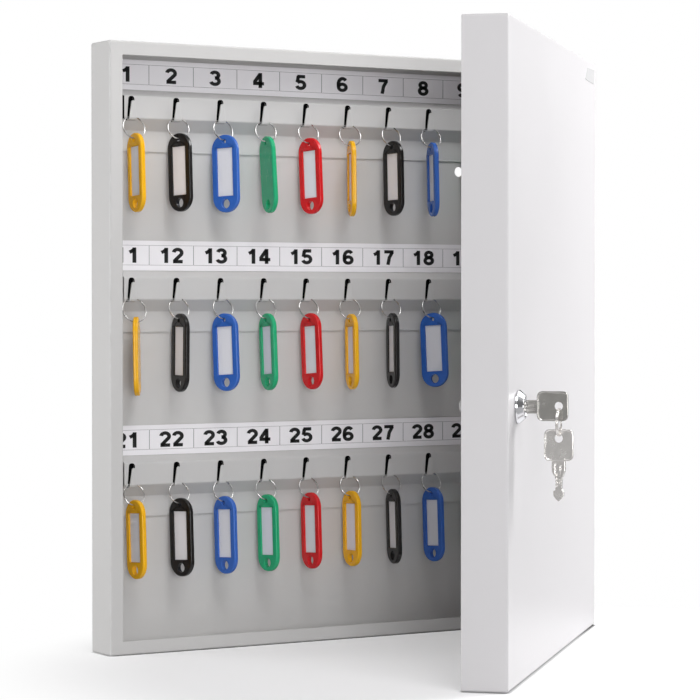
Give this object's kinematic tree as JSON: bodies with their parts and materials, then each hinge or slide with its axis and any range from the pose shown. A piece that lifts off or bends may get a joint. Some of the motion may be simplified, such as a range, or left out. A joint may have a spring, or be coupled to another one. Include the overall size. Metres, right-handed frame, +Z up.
{
  "type": "key cabinet",
  "caption": "Shallow steel wall cabinet for keys with rows of punched hooks, numbered cards, hanging key tags and an open pan door with a cam lock and keys.",
  "frame": {"origin": "centre of the tray's base, on the surface that the cabinet stands on", "axes": "+Z up, -Y out of the tray's open front, +X towards the hinge side, +Y into the wall; the door is stored open by 45.1 degrees"},
  "size_m": [0.3812, 0.3118, 0.41],
  "materials": {
    "tray_coat": "satin",
    "rail_coat": "satin",
    "door_coat": "satin",
    "card": "matte",
    "hinge_zinc": "satin",
    "lock_chrome": "gloss",
    "lock_zinc": "satin",
    "key_nickel": "satin",
    "tag_yellow": "satin",
    "tag_black": "satin",
    "tag_blue": "satin",
    "tag_green": "satin",
    "tag_red": "satin"
  },
  "bodies": {
    "cabinet": {"body_shell": "tray_coat", "hook_rail_top": "rail_coat", "hook_rail_middle": "rail_coat", "hook_rail_bottom": "rail_coat", "label_card_top": "card", "label_card_middle": "card", "label_card_bottom": "card", "hinge_leaf_body_lower": "hinge_zinc", "hinge_leaf_body_upper": "hinge_zinc", "hinge_pin_lower": "hinge_zinc", "hinge_pin_upper": "hinge_zinc"},
    "door": {"door_shell": "door_coat", "hinge_leaf_door_lower": "hinge_zinc", "hinge_leaf_door_upper": "hinge_zinc", "lock_housing": "lock_chrome", "lock_nut": "lock_zinc"},
    "lock_core": {"lock_plug": "lock_chrome", "lock_cam": "lock_zinc", "cam_screw": "lock_zinc"},
    "inserted_key": {"door_key": "key_nickel"},
    "spare_set": {"key_ring": "key_nickel", "spare_key": "key_nickel"},
    "tag_01": {"tag_01": "tag_yellow"},
    "tag_02": {"tag_02": "tag_black"},
    "tag_03": {"tag_03": "tag_blue"},
    "tag_04": {"tag_04": "tag_green"},
    "tag_05": {"tag_05": "tag_red"},
    "tag_06": {"tag_06": "tag_yellow"},
    "tag_07": {"tag_07": "tag_black"},
    "tag_08": {"tag_08": "tag_blue"},
    "tag_09": {"tag_09": "tag_green"},
    "tag_10": {"tag_10": "tag_red"},
    "tag_11": {"tag_11": "tag_yellow"},
    "tag_12": {"tag_12": "tag_black"},
    "tag_13": {"tag_13": "tag_blue"},
    "tag_14": {"tag_14": "tag_green"},
    "tag_15": {"tag_15": "tag_red"},
    "tag_16": {"tag_16": "tag_yellow"},
    "tag_17": {"tag_17": "tag_black"},
    "tag_18": {"tag_18": "tag_blue"},
    "tag_19": {"tag_19": "tag_green"},
    "tag_20": {"tag_20": "tag_red"},
    "tag_21": {"tag_21": "tag_yellow"},
    "tag_22": {"tag_22": "tag_black"},
    "tag_23": {"tag_23": "tag_blue"},
    "tag_24": {"tag_24": "tag_green"},
    "tag_25": {"tag_25": "tag_red"},
    "tag_26": {"tag_26": "tag_yellow"},
    "tag_27": {"tag_27": "tag_black"},
    "tag_28": {"tag_28": "tag_blue"},
    "tag_29": {"tag_29": "tag_green"},
    "tag_30": {"tag_30": "tag_red"}
  },
  "joints": [
    {"name": "door_hinge", "type": "hinge", "parent": "cabinet", "child": "door", "pos_m": [0.184, -0.016, 0.205], "axis": [0, 0, 1], "range_deg": [-45.1, 124.9]},
    {"name": "lock_turn", "type": "hinge", "parent": "door", "child": "lock_core", "pos_m": [-0.02981, -0.27164, 0.172], "axis": [-0.7083, 0.7059, 0], "range_deg": [0, 180]},
    {"name": "key_slide", "type": "slide", "parent": "lock_core", "child": "inserted_key", "axis": [0.7083, -0.7059, 0], "range_m": [0, 0.026]},
    {"name": "spare_swing", "type": "hinge", "parent": "inserted_key", "child": "spare_set", "pos_m": [-0.01174, -0.28964, 0.1725], "axis": [-0.7059, -0.7083, 0], "range_deg": [-18, 70]},
    {"name": "tag_01_swing", "type": "hinge", "parent": "cabinet", "child": "tag_01", "pos_m": [-0.1539, 0.004, 0.36114], "axis": [-1, 0, 0], "range_deg": [0, 25]},
    {"name": "tag_02_swing", "type": "hinge", "parent": "cabinet", "child": "tag_02", "pos_m": [-0.1197, 0.004, 0.36114], "axis": [-1, 0, 0], "range_deg": [0, 25]},
    {"name": "tag_03_swing", "type": "hinge", "parent": "cabinet", "child": "tag_03", "pos_m": [-0.0855, 0.004, 0.36114], "axis": [-1, 0, 0], "range_deg": [0, 25]},
    {"name": "tag_04_swing", "type": "hinge", "parent": "cabinet", "child": "tag_04", "pos_m": [-0.0513, 0.004, 0.36114], "axis": [-1, 0, 0], "range_deg": [0, 25]},
    {"name": "tag_05_swing", "type": "hinge", "parent": "cabinet", "child": "tag_05", "pos_m": [-0.0171, 0.004, 0.36114], "axis": [-1, 0, 0], "range_deg": [0, 25]},
    {"name": "tag_06_swing", "type": "hinge", "parent": "cabinet", "child": "tag_06", "pos_m": [0.0171, 0.004, 0.36114], "axis": [-1, 0, 0], "range_deg": [0, 25]},
    {"name": "tag_07_swing", "type": "hinge", "parent": "cabinet", "child": "tag_07", "pos_m": [0.0513, 0.004, 0.36114], "axis": [-1, 0, 0], "range_deg": [0, 25]},
    {"name": "tag_08_swing", "type": "hinge", "parent": "cabinet", "child": "tag_08", "pos_m": [0.0855, 0.004, 0.36114], "axis": [-1, 0, 0], "range_deg": [0, 25]},
    {"name": "tag_09_swing", "type": "hinge", "parent": "cabinet", "child": "tag_09", "pos_m": [0.1197, 0.004, 0.36114], "axis": [-1, 0, 0], "range_deg": [0, 25]},
    {"name": "tag_10_swing", "type": "hinge", "parent": "cabinet", "child": "tag_10", "pos_m": [0.1539, 0.004, 0.36114], "axis": [-1, 0, 0], "range_deg": [0, 25]},
    {"name": "tag_11_swing", "type": "hinge", "parent": "cabinet", "child": "tag_11", "pos_m": [-0.1539, 0.004, 0.23864], "axis": [-1, 0, 0], "range_deg": [0, 25]},
    {"name": "tag_12_swing", "type": "hinge", "parent": "cabinet", "child": "tag_12", "pos_m": [-0.1197, 0.004, 0.23864], "axis": [-1, 0, 0], "range_deg": [0, 25]},
    {"name": "tag_13_swing", "type": "hinge", "parent": "cabinet", "child": "tag_13", "pos_m": [-0.0855, 0.004, 0.23864], "axis": [-1, 0, 0], "range_deg": [0, 25]},
    {"name": "tag_14_swing", "type": "hinge", "parent": "cabinet", "child": "tag_14", "pos_m": [-0.0513, 0.004, 0.23864], "axis": [-1, 0, 0], "range_deg": [0, 25]},
    {"name": "tag_15_swing", "type": "hinge", "parent": "cabinet", "child": "tag_15", "pos_m": [-0.0171, 0.004, 0.23864], "axis": [-1, 0, 0], "range_deg": [0, 25]},
    {"name": "tag_16_swing", "type": "hinge", "parent": "cabinet", "child": "tag_16", "pos_m": [0.0171, 0.004, 0.23864], "axis": [-1, 0, 0], "range_deg": [0, 25]},
    {"name": "tag_17_swing", "type": "hinge", "parent": "cabinet", "child": "tag_17", "pos_m": [0.0513, 0.004, 0.23864], "axis": [-1, 0, 0], "range_deg": [0, 25]},
    {"name": "tag_18_swing", "type": "hinge", "parent": "cabinet", "child": "tag_18", "pos_m": [0.0855, 0.004, 0.23864], "axis": [-1, 0, 0], "range_deg": [0, 25]},
    {"name": "tag_19_swing", "type": "hinge", "parent": "cabinet", "child": "tag_19", "pos_m": [0.1197, 0.004, 0.23864], "axis": [-1, 0, 0], "range_deg": [0, 25]},
    {"name": "tag_20_swing", "type": "hinge", "parent": "cabinet", "child": "tag_20", "pos_m": [0.1539, 0.004, 0.23864], "axis": [-1, 0, 0], "range_deg": [0, 25]},
    {"name": "tag_21_swing", "type": "hinge", "parent": "cabinet", "child": "tag_21", "pos_m": [-0.1539, 0.004, 0.11305], "axis": [-1, 0, 0], "range_deg": [0, 25]},
    {"name": "tag_22_swing", "type": "hinge", "parent": "cabinet", "child": "tag_22", "pos_m": [-0.1197, 0.004, 0.11305], "axis": [-1, 0, 0], "range_deg": [0, 25]},
    {"name": "tag_23_swing", "type": "hinge", "parent": "cabinet", "child": "tag_23", "pos_m": [-0.0855, 0.004, 0.11305], "axis": [-1, 0, 0], "range_deg": [0, 25]},
    {"name": "tag_24_swing", "type": "hinge", "parent": "cabinet", "child": "tag_24", "pos_m": [-0.0513, 0.004, 0.11305], "axis": [-1, 0, 0], "range_deg": [0, 25]},
    {"name": "tag_25_swing", "type": "hinge", "parent": "cabinet", "child": "tag_25", "pos_m": [-0.0171, 0.004, 0.11305], "axis": [-1, 0, 0], "range_deg": [0, 25]},
    {"name": "tag_26_swing", "type": "hinge", "parent": "cabinet", "child": "tag_26", "pos_m": [0.0171, 0.004, 0.11305], "axis": [-1, 0, 0], "range_deg": [0, 25]},
    {"name": "tag_27_swing", "type": "hinge", "parent": "cabinet", "child": "tag_27", "pos_m": [0.0513, 0.004, 0.11305], "axis": [-1, 0, 0], "range_deg": [0, 25]},
    {"name": "tag_28_swing", "type": "hinge", "parent": "cabinet", "child": "tag_28", "pos_m": [0.0855, 0.004, 0.11305], "axis": [-1, 0, 0], "range_deg": [0, 25]},
    {"name": "tag_29_swing", "type": "hinge", "parent": "cabinet", "child": "tag_29", "pos_m": [0.1197, 0.004, 0.11305], "axis": [-1, 0, 0], "range_deg": [0, 25]},
    {"name": "tag_30_swing", "type": "hinge", "parent": "cabinet", "child": "tag_30", "pos_m": [0.1539, 0.004, 0.11305], "axis": [-1, 0, 0], "range_deg": [0, 25]}
  ]
}
